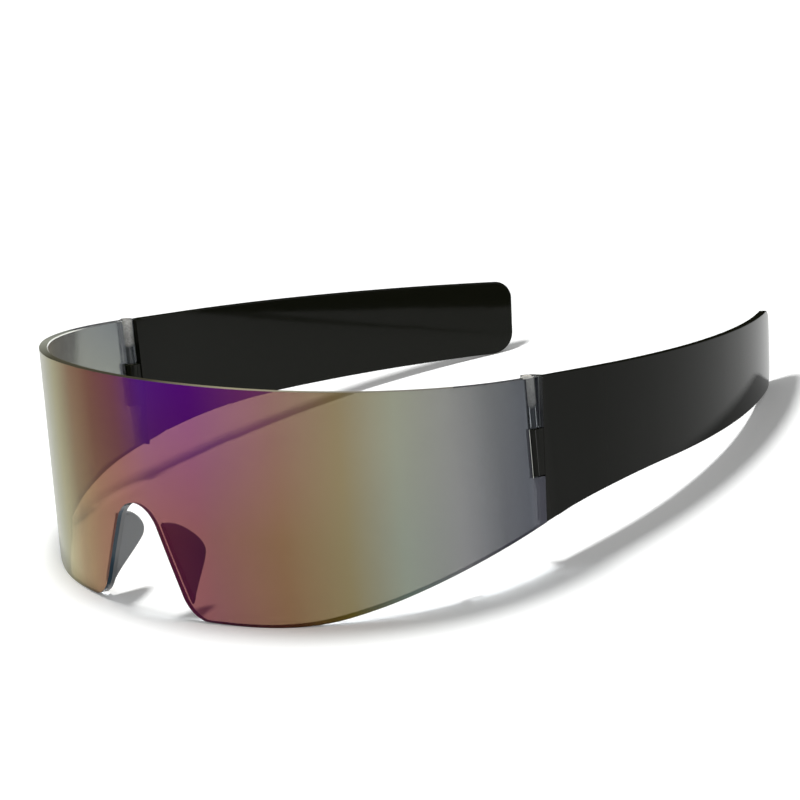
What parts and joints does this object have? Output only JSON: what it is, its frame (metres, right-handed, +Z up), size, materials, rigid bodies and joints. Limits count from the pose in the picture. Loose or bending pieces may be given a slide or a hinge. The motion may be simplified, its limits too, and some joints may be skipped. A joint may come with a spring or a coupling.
{
  "type": "sports sunglasses",
  "caption": "Rimless wraparound shield sunglasses with a one-piece mirrored lens, short black folding temples and nose pads moulded clear.",
  "frame": {"origin": "centre of the box that encloses the open sunglasses, on the plane they stand on", "axes": "+X to the wearer's left, +Y from the lens back along the temples, +Z up from the plane that the lens and the temple tips stand on"},
  "size_m": [0.144, 0.1514, 0.0499],
  "materials": {
    "mirrored_lens": "polycarbonate sheet with a glossy mirror film, violet in the middle through gold to silver grey at the sides",
    "black_temple": "polished black injection-moulded plastic",
    "screw_steel": "plain small steel screw",
    "clear_pad": "smoke-clear polished plastic"
  },
  "bodies": {
    "front": {"shield_lens": "mirrored_lens", "nose_pad_left": "clear_pad", "nose_pad_right": "clear_pad", "hinge_screw_left": "screw_steel", "hinge_screw_right": "screw_steel"},
    "left_temple": {"temple_left": "black_temple"},
    "right_temple": {"temple_right": "black_temple"}
  },
  "joints": [
    {"name": "left_hinge", "type": "hinge", "parent": "front", "child": "left_temple", "pos_m": [0.07025, -0.01939, 0.03868], "axis": [0, 0.1562, 0.9877], "range_deg": [0, 95]},
    {"name": "right_hinge", "type": "hinge", "parent": "front", "child": "right_temple", "pos_m": [-0.07025, -0.01939, 0.03868], "axis": [0, -0.1562, -0.9877], "range_deg": [0, 75]}
  ]
}
